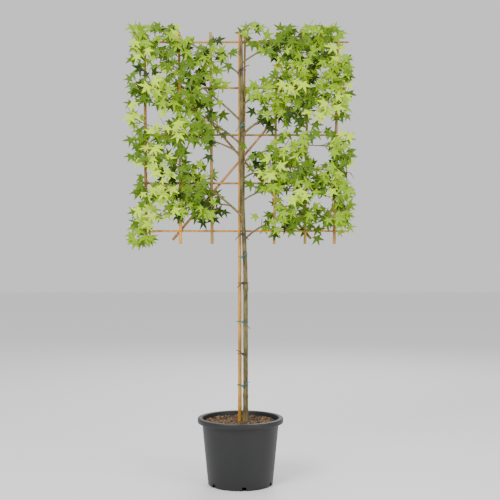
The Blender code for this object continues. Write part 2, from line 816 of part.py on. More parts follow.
def main():
    pot = make_pot()
    soil = make_soil()
    smooth(pot)
    smooth(soil)
    solids = make_frame()
    solids.append(tube("stake", *stake_line(), parts, "bamboo", sides=8))
    solids.append(tube("trunk", *trunk_line(), parts, "bark", sides=10))
    cutters = {}
    solids += [make_bough(name, cutters) for name in LIMBS]
    solids += [make_tie(f"tie_{i + 1}", height) for i, height in enumerate(TIE_HEIGHTS)]
    taken = Taken()
    for obj in solids:
        taken.add(obj.name, obj)
    stems = {name: stem_points(name) for name in [*LIMBS, "leader"]}
    for name, stem in stems.items():
        body = as_mesh(tube("space", stem, stem_radii(name, len(stem)), guides, sides=3))
        taken.add(name + "_wood", body)
        remove_object(body)
    for name in stems:
        _, count = grow_mass(name, taken, stems)
        print(f"foliage_{name}: {count} leaves")


clear_scene()
parts = collection(OBJECT)
guides = collection("guides", hidden=True)
main()
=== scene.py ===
"""Finishes the pleached sweetgum: its leaves, bark, bamboo, ties, pot and compost."""

import json
import math
import random
from collections import namedtuple

import bmesh
import bpy
from mathutils import Matrix, Vector, kdtree, noise

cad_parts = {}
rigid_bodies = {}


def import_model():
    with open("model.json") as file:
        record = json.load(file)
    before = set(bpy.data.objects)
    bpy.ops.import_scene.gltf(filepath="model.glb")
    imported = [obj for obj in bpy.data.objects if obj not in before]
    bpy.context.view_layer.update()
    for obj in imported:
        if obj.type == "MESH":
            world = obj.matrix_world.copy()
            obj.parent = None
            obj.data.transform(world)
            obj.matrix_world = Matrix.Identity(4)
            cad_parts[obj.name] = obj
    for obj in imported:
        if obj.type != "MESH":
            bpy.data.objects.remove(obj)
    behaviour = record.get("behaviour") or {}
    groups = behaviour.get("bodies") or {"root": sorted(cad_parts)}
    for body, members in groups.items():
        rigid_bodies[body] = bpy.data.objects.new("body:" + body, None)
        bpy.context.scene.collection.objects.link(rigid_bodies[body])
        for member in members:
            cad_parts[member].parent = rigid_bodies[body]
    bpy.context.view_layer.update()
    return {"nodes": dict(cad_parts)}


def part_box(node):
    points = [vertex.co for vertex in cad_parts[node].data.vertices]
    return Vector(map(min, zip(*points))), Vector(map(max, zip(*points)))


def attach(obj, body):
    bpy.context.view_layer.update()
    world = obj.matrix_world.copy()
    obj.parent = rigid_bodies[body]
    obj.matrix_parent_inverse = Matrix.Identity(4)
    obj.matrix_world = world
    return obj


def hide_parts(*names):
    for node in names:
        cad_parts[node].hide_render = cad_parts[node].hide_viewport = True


bl_info = {
    "name": "Pleached Sweetgum",
    "version": (1, 0, 0),
    "blender": (4, 5, 0),
    "location": "View3D > Sidebar > Sweetgum",
    "description": "Makes the finished surfaces of a pleached sweetgum in a nursery pot",
    "category": "Object",
}

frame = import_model()

CLEAR = 0.0003
UP = Vector((0, 0, 1))
ACROSS = Vector((0, 1, 0))
GOLDEN_TURN = math.radians(137.5)

# Trunk: heights, middle line and diameters
TRUNK_FOOT_X, TRUNK_TOP_X = 0.029, 0.006
LEAN_FROM, LEAN_TO = 1.10, 1.80
TRUNK_FOOT = 0.355 + CLEAR
TRUNK_TOP = 2.56
TRUNK_FOOT_DIAMETER, TRUNK_CROWN_DIAMETER, TRUNK_TIP_DIAMETER = 0.028, 0.0245, 0.010
CROWN_FOOT, CROWN_TAPER = 1.40, 4.5
FLARE, FLARE_HEIGHT = 0.009, 0.035
TRUNK_STEP = 0.008

# Swellings on the stem: height, how far they stand out, half their length
KNOTS = [(0.50, 0.0016, 0.012), (0.78, 0.0012, 0.010), (1.11, 0.0034, 0.018), (1.30, 0.0016, 0.012)]

# Limbs: parent, where they start, heading there, reach, tip height, heading there, bare share, width
Limb = namedtuple("Limb", "parent start leaves reach top ends bare width")
LIMBS = {
    "left_1": Limb("trunk", 2.31, 42, -0.48, 2.57, 20, 0.14, 0.010),
    "left_2": Limb("trunk", 2.05, 47, -0.60, 2.54, 42, 0.22, 0.013),
    "left_3": Limb("trunk", 1.92, 44, -0.57, 2.24, 14, 0.24, 0.013),
    "left_4": Limb("trunk", 1.86, 42, -0.59, 2.06, 28, 0.24, 0.012),
    "left_5": Limb("trunk", 1.51, 47, -0.60, 1.93, 25, 0.30, 0.015),
    "left_6": Limb("left_5", 0.27, 12, -0.53, 1.67, 0, 0.12, 0.009),
    "left_7": Limb("left_5", 0.14, 14, -0.58, 1.44, -40, 0.10, 0.009),
    "right_1": Limb("trunk", 2.38, 38, 0.50, 2.54, -12, 0.24, 0.011),
    "right_2": Limb("right_1", 0.20, 12, 0.62, 2.35, -36, 0.12, 0.008),
    "right_3": Limb("trunk", 2.14, 43, 0.58, 2.29, -10, 0.13, 0.012),
    "right_4": Limb("trunk", 1.97, 50, 0.60, 2.17, -6, 0.20, 0.016),
    "right_5": Limb("trunk", 1.81, 47, 0.54, 1.90, -12, 0.14, 0.012),
    "right_6": Limb("trunk", 1.72, 44, 0.62, 1.76, -6, 0.14, 0.011),
    "right_7": Limb("trunk", 1.60, 44, 0.57, 1.64, -10, 0.16, 0.010),
    "right_8": Limb("trunk", 1.38, 52, 0.60, 1.54, -10, 0.22, 0.013),
}
LIMB_POINTS = 48
LIMB_PULL, LIMB_FORWARD = 0.85, 0.035
LIMB_END_WIDTH, FOOT_SWELL = 0.0042, 1.15
LEADER_SPREAD, LEADER_RISE, LEADER_SUNK, LEADER_STEPS = 0.06, 0.05, 0.04, 10
LEADER_RADIUS, LEADER_TAPER = 0.005, 0.0025

# The crown's reach, and the windows of sky in it as left, right, low, high
CROWN_SIDE, CROWN_LOW, CROWN_HIGH, CROWN_DEPTH = 0.665, 1.315, 2.640, 0.17
SKY = [
    (-0.12, -0.01, 2.26, 2.36),
    (-0.10, -0.01, 2.12, 2.22),
    (-0.12, -0.02, 2.00, 2.07),
    (-0.28, -0.19, 1.83, 1.93),
    (-0.14, -0.02, 1.73, 1.92),
    (-0.14, -0.04, 1.64, 1.69),
    (-0.56, -0.46, 2.02, 2.12),
    (-0.50, -0.26, 1.44, 1.50),
    (-0.32, -0.20, 2.51, 2.57),
    (-0.07, 0.00, 2.52, 2.63),
    (0.03, 0.19, 2.33, 2.38),
    (0.03, 0.17, 1.93, 2.04),
    (0.05, 0.17, 1.53, 1.66),
    (0.22, 0.29, 1.61, 1.68),
    (0.40, 0.47, 1.83, 1.95),
    (0.42, 0.52, 1.57, 1.64),
    (-0.50, 0.02, 1.30, 1.40),
    (0.25, 0.42, 1.30, 1.42),
]

# Cane frame: uprights as x at the top, x at the bottom, diameter
FRAME_BACK, FRAME_SIDE, FRAME_TOP, RAIL_LEFT = 0.030, 1.20, 2.56, -0.585
UPRIGHTS = [
    (-0.543, -0.535, 0.019),
    (-0.348, -0.340, 0.018),
    (-0.170, -0.161, 0.018),
    (0.026, 0.015, 0.014),
    (0.207, 0.191, 0.015),
    (0.385, 0.366, 0.0155),
    (0.553, 0.532, 0.018),
]
RAIL_HEIGHTS = [2.506, 2.246, 1.979, 1.705, 1.433]
RAIL_DIAMETER, BRACE_DIAMETER, UPRIGHT_TAPER = 0.0125, 0.015, 0.86
BRACES = [((-0.387, 1.383), (0.207, 2.085)), ((0.403, 1.389), (-0.195, 2.085))]
STAKE_FOOT_X, STAKE_TOP_X, STAKE_DEPTH = -0.003, -0.007, 0.22
STAKE_FOOT_DIAMETER, STAKE_TOP_DIAMETER = 0.023, 0.0115
CANE_STEP = 0.010

# Ties: heights, and which of them are teal
TIE_HEIGHTS = [0.557, 0.738, 0.919, 1.140, 1.287, 1.417, 2.028, 2.345]
TEAL_TIES = [1, 3, 5, 7]

# Pot: heights and diameters, then the notches at its foot
POT_HEIGHT, POT_RIM_DIAMETER, POT_FOOT_DIAMETER, POT_WALL = 0.378, 0.485, 0.367, 0.004
POT_LIP_HEIGHT, POT_LIP_STANDS_OUT, POT_ROUNDING = 0.028, 0.025, 0.006
NOTCHES, NOTCH_WIDTH, NOTCH_HEIGHT, FIRST_NOTCH_DEG = 6, 0.024, 0.022, -83

# Compost: a skin whose lower edge is tucked in from the wall, and the chips as least and most sizes
COMPOST_BELOW, COMPOST_SKIN, COMPOST_GAP, COMPOST_TUCK = 0.003, 0.012, 0.001, 0.004
COMPOST_RINGS, COMPOST_SEGMENTS = 36, 120
COMPOST_RELIEF, COMPOST_LUMPS = 0.0035, 38
CHIP_SIZES = ((0.006, 0.024), (0.003, 0.010), (0.002, 0.005))
CHIP_MARGIN, CHIP_LIFT, CHIP_TILT = 0.012, 0.004, 0.35
CHIP_TAN = (0.21, 0.12, 0.055)

# Canes: where their nodes sit, how they taper, and their tints
NODE_LENGTH, FIRST_NODE = 0.006, 0.4
STAKE_NODES, RAIL_NODES, BRACE_NODES = 0.27, 0.36, 0.30
RAIL_TAPER = 0.9
UPRIGHT_TINTS = ("tan", "golden", "olive")
RAIL_TINTS = ("golden", "tan", "olive", "tan", "golden")
TAN_CANE, OLIVE_CANE = (0.38, 0.18, 0.035), (0.33, 0.21, 0.025)

# Lashings: how far the cord stands off the canes, and its own radius
LASH_STEPS, LASH_WIDER, LASH_DEEPER, LASH_DEPTH = 14, 0.004, 0.0035, 1.9
LASH_CORD = 0.0008

# Knots and tails of the ties
KNOT_STANDS_OFF, KNOT_HALF = 0.003, 0.008
KNOT_RADII = [0.003, 0.0075, 0.003]
TAIL_REACH, TAIL_RISE = (0.022, 0.042), (-0.045, 0.030)
TAIL_FORWARD, TAIL_ARCH = 0.010, 0.005
TAIL_RADII = [0.0030, 0.0026, 0.0020]

# Bark: how far the trunk is sunk in the compost and a bough laps its twigs, and the relief's grain
TRUNK_SUNK, LIMB_LAP = 0.01, 0.01
BARK_ACROSS, BARK_ALONG, BOUGH_GRAIN, BOUGH_RELIEF = 190, 42, 200, 0.6

# Twigs: lengths, leans and margins, then where along a twig its leaves begin
BOUGH_TWIG, LEADER_TWIG, HEADING_SPAN = 0.16, 0.08, 0.06
TWIG_LEANS_DEG, TWIG_LENGTHS, TWIG_LIFTS = (42, 66), (0.45, 1.0), (-0.01, 0.03)
TWIG_RADIUS, TWIG_TAPER, TWIG_MARGIN, SHORT_TWIG_MARGIN = 0.0022, 0.0011, 0.03, 0.02
LEAVES_FROM = 0.25

# Leaves: stalks, sizes, and the share that faces the front on either side of the frame
STALK_LENGTHS, STALK_DROP = (0.026, 0.052), 0.006
STALK_RADII = [0.0009, 0.0007, 0.0007]
LEAF_SIZES, LEAF_MARGIN, LEAF_HEEL = (0.72, 1.10), 0.045, 0.22
BACK_FROM, FRONT_SHARE, BACK_SHARE = 0.02, 0.85, 0.30

# Age of a spray plus painted shade, which darkens sprays inside the crown, and the values below which it is
# lime, bright or middle green
AGE_AND_SHADE_MIDDLE, PAINTED_SHADE_BY_DEPTH, PAINTED_SHADE_BY_SIDE, AGE_SPREAD = 0.55, 0.35, 0.15, (-0.34, 0.40)
LIME_BELOW, BRIGHT_BELOW, MIDDLE_BELOW = 0.12, 0.40, 0.70

# Finishes: where a pattern's two tones end, how deep it is, and the plain finish
TONE_DARK, TONE_LIGHT, PATTERN_DETAIL, BUMP_DISTANCE = 0.36, 0.64, 6, 0.002
PLAIN_ROUGHNESS, PLAIN_SHINE = 0.48, 0.2

# Gaps that are welded shut in tubes and in spun shapes
TUBE_WELD, SPUN_WELD = 0.000005, 0.00001

# Studio: lamps as place and power, then the floor and the light all round
LAMPS = {
    "key": ((-3.0, -5.0, 5.0), 420),
    "fill": ((4.0, -4.0, 3.0), 160),
    "back": ((1.0, 5.0, 4.5), 160),
}
LAMP_SIZE, WORLD_STRENGTH, FLOOR_SIZE, SENSOR_WIDTH = 3.0, 0.85, 20, 36


class PotSettings(bpy.types.PropertyGroup):
    segments: bpy.props.IntProperty(
        name="Segments", description="Steps round the pot", default=128, min=24
    )
    colour: bpy.props.FloatVectorProperty(
        name="Plastic", description="Colour of the pot", subtype="COLOR", default=(0.006, 0.0062, 0.0065)
    )
    compost: bpy.props.FloatVectorProperty(
        name="Compost", description="Colour of the compost", subtype="COLOR", default=(0.050, 0.030, 0.018)
    )
    chips: bpy.props.IntProperty(
        name="Chips", description="Bark chips on the compost", default=900, min=0
    )


class WoodSettings(bpy.types.PropertyGroup):
    bark: bpy.props.FloatVectorProperty(
        name="Bark", description="Colour of the stem", subtype="COLOR", default=(0.130, 0.105, 0.032)
    )
    relief: bpy.props.FloatProperty(
        name="Relief", description="Depth of the bark's relief", unit="LENGTH", default=0.0009
    )
    bamboo: bpy.props.FloatVectorProperty(
        name="Bamboo", description="Colour of the stake", subtype="COLOR", default=(0.56, 0.26, 0.022)
    )
    node_swell: bpy.props.FloatProperty(
        name="Node swell", description="How much thicker a cane is at a node", default=0.15
    )


class FoliageSettings(bpy.types.PropertyGroup):
    seed: bpy.props.IntProperty(name="Seed", description="Start of the random draws", default=20)
    twig_spacing: bpy.props.FloatProperty(
        name="Twig spacing", description="Along each bough", unit="LENGTH", default=0.025
    )
    leaf_spacing: bpy.props.FloatProperty(
        name="Leaf spacing", description="Along each twig", unit="LENGTH", default=0.024
    )
    leaf_reach: bpy.props.FloatProperty(
        name="Leaf reach", description="From a leaf's middle to its tip", unit="LENGTH", default=0.052
    )
    lime: bpy.props.FloatVectorProperty(
        name="Lime", description="Youngest leaves", subtype="COLOR", default=(0.46, 0.66, 0.030)
    )
    bright: bpy.props.FloatVectorProperty(
        name="Bright", description="Young leaves", subtype="COLOR", default=(0.21, 0.36, 0.006)
    )
    middle: bpy.props.FloatVectorProperty(
        name="Middle", description="Full-grown leaves", subtype="COLOR", default=(0.085, 0.165, 0.003)
    )
    # Deep also carries painted shade: the sprays inside the crown take it
    deep: bpy.props.FloatVectorProperty(
        name="Deep", description="Oldest leaves", subtype="COLOR", default=(0.022, 0.050, 0.001)
    )


class StageSettings(bpy.types.PropertyGroup):
    floor: bpy.props.FloatVectorProperty(
        name="Floor", description="Colour of the floor", subtype="COLOR", default=(0.88, 0.88, 0.88)
    )
    lens: bpy.props.FloatProperty(name="Lens", description="Focal length in mm", default=73.8)
    camera_place: bpy.props.FloatVectorProperty(
        name="Camera", description="Where the camera stands", unit="LENGTH", default=(0.054, -5.8, 1.40)
    )
    camera_target: bpy.props.FloatVectorProperty(
        name="Target", description="What it looks at", unit="LENGTH", default=(0.054, 0.0, 1.326)
    )


def finish(name, light, dark, scale, roughness, relief, stretch=(1, 1, 1)):
    """A surface whose colour and relief follow one pattern of noise."""
    surface = bpy.data.materials.new(name)
    surface.use_nodes = True
    nodes = surface.node_tree.nodes
    link = surface.node_tree.links.new
    shader = nodes["Principled BSDF"]
    shader.inputs["Roughness"].default_value = roughness
    place = nodes.new("ShaderNodeTexCoord")
    turn = nodes.new("ShaderNodeMapping")
    turn.inputs["Scale"].default_value = stretch
    pattern = nodes.new("ShaderNodeTexNoise")
    pattern.inputs["Scale"].default_value = scale
    pattern.inputs["Detail"].default_value = PATTERN_DETAIL
    tones = nodes.new("ShaderNodeValToRGB")
    tones.color_ramp.elements[0].position = TONE_DARK
    tones.color_ramp.elements[1].position = TONE_LIGHT
    tones.color_ramp.elements[0].color = (*dark, 1)
    tones.color_ramp.elements[1].color = (*light, 1)
    bump = nodes.new("ShaderNodeBump")
    bump.inputs["Strength"].default_value = relief
    bump.inputs["Distance"].default_value = BUMP_DISTANCE
    link(place.outputs["Object"], turn.inputs["Vector"])
    link(turn.outputs["Vector"], pattern.inputs["Vector"])
    link(pattern.outputs["Fac"], tones.inputs["Fac"])
    link(tones.outputs["Color"], shader.inputs["Base Color"])
    link(pattern.outputs["Fac"], bump.inputs["Height"])
    link(bump.outputs["Normal"], shader.inputs["Normal"])
    return surface


def plain_finish(name, colour):
    """One plain colour with a soft shine, for the leaves and the floor."""
    surface = bpy.data.materials.new(name)
    surface.use_nodes = True
    shader = surface.node_tree.nodes["Principled BSDF"]
    shader.inputs["Base Color"].default_value = (*colour, 1)
    shader.inputs["Roughness"].default_value = PLAIN_ROUGHNESS
    shader.inputs["Specular IOR Level"].default_value = PLAIN_SHINE
    return surface


def shade(colour, amount):
    return tuple(min(1.0, channel * amount) for channel in colour)


def piece(name, mesh, surface, slot, *nodes):
    """Puts a finished mesh on the plant's one body, in place of the solids named."""
    obj = bpy.data.objects.new(name, mesh)
    bpy.context.scene.collection.objects.link(obj)
    mesh.materials.clear()
    mesh.materials.append(surface)
    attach(obj, "root")
    if nodes:
        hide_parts(*nodes)
    return obj


def as_mesh(name, shape, smooth=True):
    mesh = bpy.data.meshes.new(name)
    shape.to_mesh(mesh)
    shape.free()
    mesh.polygons.foreach_set("use_smooth", [smooth] * len(mesh.polygons))
    return mesh


def tubes(name, runs, resolution):
    """One mesh of round tubes. A run is its points, a radius for each, and whether it closes."""
    path = bpy.data.curves.new(name, "CURVE")
    path.dimensions = "3D"
    path.bevel_depth = 1.0
    path.bevel_resolution = resolution
    path.use_fill_caps = True
    for points, radii, closed in runs:
        spline = path.splines.new("POLY")
        spline.points.add(len(points) - 1)
        spline.use_cyclic_u = closed
        for spot, point, radius in zip(spline.points, points, radii):
            spot.co = (*point, 1)
            spot.radius = radius
    guide = bpy.data.objects.new(name, path)
    bpy.context.scene.collection.objects.link(guide)
    rough = bpy.data.meshes.new_from_object(guide.evaluated_get(bpy.context.evaluated_depsgraph_get()))
    bpy.data.objects.remove(guide)
    shape = bmesh.new()
    shape.from_mesh(rough)
    bpy.data.meshes.remove(rough)
    bmesh.ops.remove_doubles(shape, verts=shape.verts, dist=TUBE_WELD)
    bmesh.ops.recalc_face_normals(shape, faces=shape.faces)
    return as_mesh(name, shape)


def roughen(mesh, depth, across, along):
    """Moves a mesh's points in or out by noise that runs lengthwise."""
    normals = [vertex.normal.copy() for vertex in mesh.vertices]
    for vertex, normal in zip(mesh.vertices, normals):
        spot = Vector((vertex.co.x * across, vertex.co.y * across, vertex.co.z * along))
        vertex.co += normal * depth * noise.fractal(spot, 0.8, 2.0, 4)


def smooth_step(share):
    share = min(max(share, 0), 1)
    return share * share * (3 - 2 * share)


def trunk_middle(height):
    lean = smooth_step((height - LEAN_FROM) / (LEAN_TO - LEAN_FROM))
    return Vector((TRUNK_FOOT_X + (TRUNK_TOP_X - TRUNK_FOOT_X) * lean, 0, height))


def trunk_radius(height):
    if height < CROWN_FOOT:
        share = (height - TRUNK_FOOT) / (CROWN_FOOT - TRUNK_FOOT)
        width = TRUNK_FOOT_DIAMETER + (TRUNK_CROWN_DIAMETER - TRUNK_FOOT_DIAMETER) * share
    else:
        share = ((height - CROWN_FOOT) / (TRUNK_TOP - CROWN_FOOT)) ** CROWN_TAPER
        width = TRUNK_CROWN_DIAMETER + (TRUNK_TIP_DIAMETER - TRUNK_CROWN_DIAMETER) * share
    radius = width / 2 + FLARE * math.exp(-(height - TRUNK_FOOT) / FLARE_HEIGHT)
    for knot, stands_out, half in KNOTS:
        radius += stands_out * math.exp(-(((height - knot) / half) ** 2))
    return radius


def point_along(points, share):
    place = share * (len(points) - 1)
    i = min(int(place), len(points) - 2)
    return points[i].lerp(points[i + 1], place - i)


def limb_line(name):
    """Points along a limb from its foot to its tip, on a curve set by its two headings."""
    limb = LIMBS[name]
    side = math.copysign(1, limb.reach)
    if limb.parent == "trunk":
        foot = trunk_middle(limb.start)
    else:
        foot = point_along(limb_line(limb.parent), limb.start)
    tip = Vector((limb.reach, -LIMB_FORWARD, limb.top))
    span = (tip - foot).length * LIMB_PULL
    leave, arrive = math.radians(limb.leaves), math.radians(limb.ends)
    out = Vector((side * math.cos(leave), 0, math.sin(leave))) * span
    into = Vector((side * math.cos(arrive), -0.1, math.sin(arrive))) * span
    points = []
    for i in range(LIMB_POINTS + 1):
        t = i / LIMB_POINTS
        points.append(
            foot * (2 * t**3 - 3 * t**2 + 1)
            + out * (t**3 - 2 * t**2 + t)
            + tip * (3 * t**2 - 2 * t**3)
            + into * (t**3 - t**2)
        )
    return points


def limb_radius(name, share):
    """A limb's radius: swollen at its foot, then an even taper to its tip."""
    width = LIMBS[name].width
    taper = width + (LIMB_END_WIDTH - width) * share**0.8
    swell = 1 + (FOOT_SWELL - 1) * math.exp(-share / 0.03)
    return taper * swell / 2


def stretch_of(name, first, last):
    """The points and radii of a limb between two shares of its length."""
    line = limb_line(name)
    steps = LIMB_POINTS
    shares = [first + (last - first) * i / steps for i in range(steps + 1)]
    return [point_along(line, s) for s in shares], [limb_radius(name, s) for s in shares]


def leader_line():
    """The trunk's tip drawn on as a thin shoot that bends to the right."""
    foot = Vector((TRUNK_TOP_X, 0, TRUNK_TOP - LEADER_SUNK))
    points = []
    for i in range(LEADER_STEPS + 1):
        share = i / LEADER_STEPS
        points.append(foot + Vector((LEADER_SPREAD * share**2, 0, (LEADER_RISE + LEADER_SUNK) * share)))
    return points


def in_window(point):
    return any(a < point.x < b and low < point.z < high for a, b, low, high in SKY)


def in_crown(point, margin):
    return (
        abs(point.x) < CROWN_SIDE - margin
        and CROWN_LOW + margin < point.z < CROWN_HIGH - margin
        and abs(point.y) < CROWN_DEPTH
    )


def leaf_template(name, rng):
    """A five-lobed star of reach 1 in the XY plane, its tip at +Y, its lobes drooping."""
    lobes = [(-112, 0.66), (-57, 0.95), (0, 1.0), (57, 0.95), (112, 0.66)]
    outline = [(-158, 0.20)]
    for turn, reach in lobes:
        reach *= rng.uniform(0.92, 1.06)
        turn += rng.uniform(-4, 4)
        outline += [(turn - 28, 0.34), (turn - 11, 0.62 * reach), (turn, reach), (turn + 11, 0.62 * reach)]
    outline += [(140, 0.34), (158, 0.20)]
    shape = bmesh.new()
    corners = []
    for turn, reach in outline:
        angle = math.radians(90 - turn)
        corners.append(shape.verts.new((reach * math.cos(angle), reach * math.sin(angle), 0)))
    face = shape.faces.new(corners)
    bmesh.ops.poke(shape, faces=[face])
    bmesh.ops.subdivide_edges(shape, edges=shape.edges, cuts=1)
    bmesh.ops.triangulate(shape, faces=shape.faces)
    bmesh.ops.recalc_face_normals(shape, faces=shape.faces)
    droop = rng.uniform(0.10, 0.30)
    twist = rng.uniform(-0.15, 0.15)
    for vertex in shape.verts:
        x, y, _ = vertex.co
        vertex.co.z = -droop * (x * x + y * y) + twist * x * y + 0.05 * math.sin(7 * x) * y
    return as_mesh(name, shape)


def leaf_matrix(base, normal, tip, reach):
    """Stands a leaf's base at a point, with its face and its tip turned as told."""
    face = normal.normalized()
    along = (tip - face * tip.dot(face)).normalized()
    side = along.cross(face)
    turn = Matrix((side, along, face)).transposed().to_4x4()
    return Matrix.Translation(base + along * reach * LEAF_HEEL) @ turn @ Matrix.Scale(reach, 4)


class Crown:
    """What has grown so far: twigs and stalks as tubes, and leaves by tint."""

    def __init__(self, settings):
        self.settings = settings
        self.rng = random.Random(settings.seed)
        self.twigs = []
        self.stalks = []
        self.leaves = {tint: [] for tint in ("lime", "bright", "middle", "deep")}
        self.stems = {name: stretch_of(name, LIMBS[name].bare, 1.0) for name in LIMBS}
        leader = leader_line()
        widths = [LEADER_RADIUS - LEADER_TAPER * i / len(leader) for i in range(len(leader))]
        self.stems["leader"] = (leader, widths)
        self.owners = []
        spots = [(name, point) for name, (line, _) in self.stems.items() for point in line]
        self.near = kdtree.KDTree(len(spots))
        for i, (name, point) in enumerate(spots):
            self.near.insert(point, i)
            self.owners.append(name)
        self.near.balance()

    def owner(self, point):
        return self.owners[self.near.find(point)[1]]

    def tint(self, tip):
        """Sprays that stand out in front, behind or at the sides are lighter than inner ones: inner sprays
        are darkened as painted shade, on top of a random spread in leaf age.
        """
        by_depth = PAINTED_SHADE_BY_DEPTH * abs(tip.y) / CROWN_DEPTH
        by_side = PAINTED_SHADE_BY_SIDE * abs(tip.x) / CROWN_SIDE
        age_and_shade = AGE_AND_SHADE_MIDDLE - by_depth - by_side + self.rng.uniform(*AGE_SPREAD)
        if age_and_shade < LIME_BELOW:
            return "lime"
        if age_and_shade < BRIGHT_BELOW:
            return "bright"
        return "middle" if age_and_shade < MIDDLE_BELOW else "deep"

    def add_leaf(self, spot, heading, number, tint):
        rng = self.rng
        front_share = FRONT_SHARE if spot.y < BACK_FROM else BACK_SHARE
        front = -1 if rng.random() < front_share else 1
        turn = number * GOLDEN_TURN
        spread = Vector((math.cos(turn), 0.55 * front, math.sin(turn)))
        stalk = (heading * 0.5 + spread).normalized() * rng.uniform(*STALK_LENGTHS)
        base = spot + stalk + Vector((0, 0, -STALK_DROP))
        reach = self.settings.leaf_reach * rng.uniform(*LEAF_SIZES)
        normal = Vector((rng.gauss(0, 0.38), front, rng.gauss(0.30, 0.35)))
        tip = stalk.normalized() * 0.8 + Vector((rng.gauss(0, 0.35), 0, -0.75 + rng.gauss(0, 0.30)))
        middle = base + tip.normalized() * reach * 0.3
        if in_window(middle) or not in_crown(middle, LEAF_MARGIN):
            return
        self.stalks.append(([spot, spot + stalk * 0.55, base], STALK_RADII, False))
        self.leaves[tint].append(leaf_matrix(base, normal, tip, reach))

    def add_twig(self, name, root, along, number, longest):
        """A twig that curves up from its stem, with leaves dealt round it."""
        rng = self.rng
        side = along.cross(ACROSS).normalized()
        depth = side.cross(along)
        turn = number * GOLDEN_TURN + rng.uniform(-0.4, 0.4)
        lean = math.radians(rng.uniform(*TWIG_LEANS_DEG))
        round_it = side * math.cos(turn) + depth * math.sin(turn) * 0.8
        heading = (along * math.cos(lean) + round_it * math.sin(lean)).normalized()
        length = rng.uniform(*TWIG_LENGTHS) * longest
        lift = rng.uniform(*TWIG_LIFTS)
        points = [root + heading * length * t + UP * lift * t * t for t in (0, 0.25, 0.5, 0.75, 1.0)]
        tip = points[-1]
        if not in_crown(tip, TWIG_MARGIN) or self.owner(tip) != name or in_window(tip):
            points = points[:3]
            length *= 0.5
            if in_window(points[-1]) or not in_crown(points[-1], SHORT_TWIG_MARGIN):
                return
        radii = [TWIG_RADIUS - TWIG_TAPER * i / (len(points) - 1) for i in range(len(points))]
        self.twigs.append((points, radii, False))
        tint = self.tint(points[-1])
        count = max(2, round(length / self.settings.leaf_spacing))
        for i in range(count + 1):
            spot = point_along(points, LEAVES_FROM + (1 - LEAVES_FROM) * i / count)
            self.add_leaf(spot, heading, number + i, tint)

    def grow(self):
        for name, (line, radii) in self.stems.items():
            self.twigs.append((line, radii, False))
            length = sum((b - a).length for a, b in zip(line, line[1:]))
            count = max(4, round(length / self.settings.twig_spacing))
            longest = LEADER_TWIG if name == "leader" else BOUGH_TWIG
            for i in range(count + 1):
                share = i / count
                root = point_along(line, share)
                ahead = point_along(line, min(1.0, share + HEADING_SPAN))
                behind = point_along(line, max(0.0, share - HEADING_SPAN))
                self.add_twig(name, root, (ahead - behind).normalized(), i, longest)


def joined_leaves(name, templates, places, rng):
    shape = bmesh.new()
    for place in places:
        leaf = rng.choice(templates).copy()
        leaf.transform(place)
        shape.from_mesh(leaf)
        bpy.data.meshes.remove(leaf)
    return as_mesh(name, shape)


def pot_wall_radius(height):
    """Outer radius of the pot's wall, which widens evenly up to the foot of its lip."""
    neck = POT_RIM_DIAMETER / 2 - POT_LIP_STANDS_OUT
    foot = POT_FOOT_DIAMETER / 2
    return foot + (neck - foot) * height / (POT_HEIGHT - POT_LIP_HEIGHT)


def arc(middle, radius, first, last, steps=5):
    turns = [math.radians(first + (last - first) * i / steps) for i in range(steps + 1)]
    return [(middle[0] + radius * math.cos(t), middle[1] + radius * math.sin(t)) for t in turns]


def turned(profile, segments):
    """A closed solid spun from a profile of radius and height."""
    shape = bmesh.new()
    corners = [shape.verts.new((radius, 0, height)) for radius, height in profile]
    edges = [shape.edges.new(pair) for pair in zip(corners, corners[1:])]
    bmesh.ops.spin(
        shape, geom=corners + edges, cent=(0, 0, 0), axis=UP, angle=math.tau, steps=segments, use_merge=True
    )
    bmesh.ops.remove_doubles(shape, verts=shape.verts, dist=SPUN_WELD)
    bmesh.ops.recalc_face_normals(shape, faces=shape.faces)
    return shape


def notch_cutters():
    shape = bmesh.new()
    for i in range(NOTCHES):
        turn = Matrix.Rotation(math.radians(FIRST_NOTCH_DEG + 360 / NOTCHES * i), 4, "Z")
        place = Matrix.Translation((POT_FOOT_DIAMETER / 2, 0, NOTCH_HEIGHT / 2 - POT_WALL))
        size = Matrix.Diagonal((POT_WALL * 6, NOTCH_WIDTH, NOTCH_HEIGHT + 2 * POT_WALL, 1))
        bmesh.ops.create_cube(shape, size=1.0, matrix=turn @ place @ size)
    return as_mesh("notches", shape, smooth=False)


def cut_mesh(mesh, cutter_mesh):
    """The mesh with the cutter's shapes taken out of it."""
    obj = bpy.data.objects.new("cut", mesh)
    cutter = bpy.data.objects.new("cutter", cutter_mesh)
    for each in (obj, cutter):
        bpy.context.scene.collection.objects.link(each)
    modifier = obj.modifiers.new("notches", "BOOLEAN")
    modifier.operation = "DIFFERENCE"
    modifier.object = cutter
    result = bpy.data.meshes.new_from_object(obj.evaluated_get(bpy.context.evaluated_depsgraph_get()))
    bpy.data.objects.remove(obj)
    bpy.data.objects.remove(cutter)
    return result


def add_chip(shape, reach, top, rng):
    """One chip of bark, tilted a little, somewhere on the compost."""
    turn = rng.uniform(0, math.tau)
    away = (reach - CHIP_MARGIN) * math.sqrt(rng.uniform(0.02, 1.0))
    place = Vector((away * math.cos(turn), away * math.sin(turn), top + rng.uniform(0, CHIP_LIFT)))
    tilt = Matrix.Rotation(rng.gauss(0, CHIP_TILT), 4, "X")
    tilt = tilt @ Matrix.Rotation(rng.gauss(0, CHIP_TILT), 4, "Y")
    spin = Matrix.Rotation(rng.uniform(0, math.tau), 4, "Z")
    size = [rng.uniform(least, most) for least, most in CHIP_SIZES]
    matrix = Matrix.Translation(place) @ tilt @ spin @ Matrix.Diagonal((*size, 1))
    bmesh.ops.create_cube(shape, size=1.0, matrix=matrix)


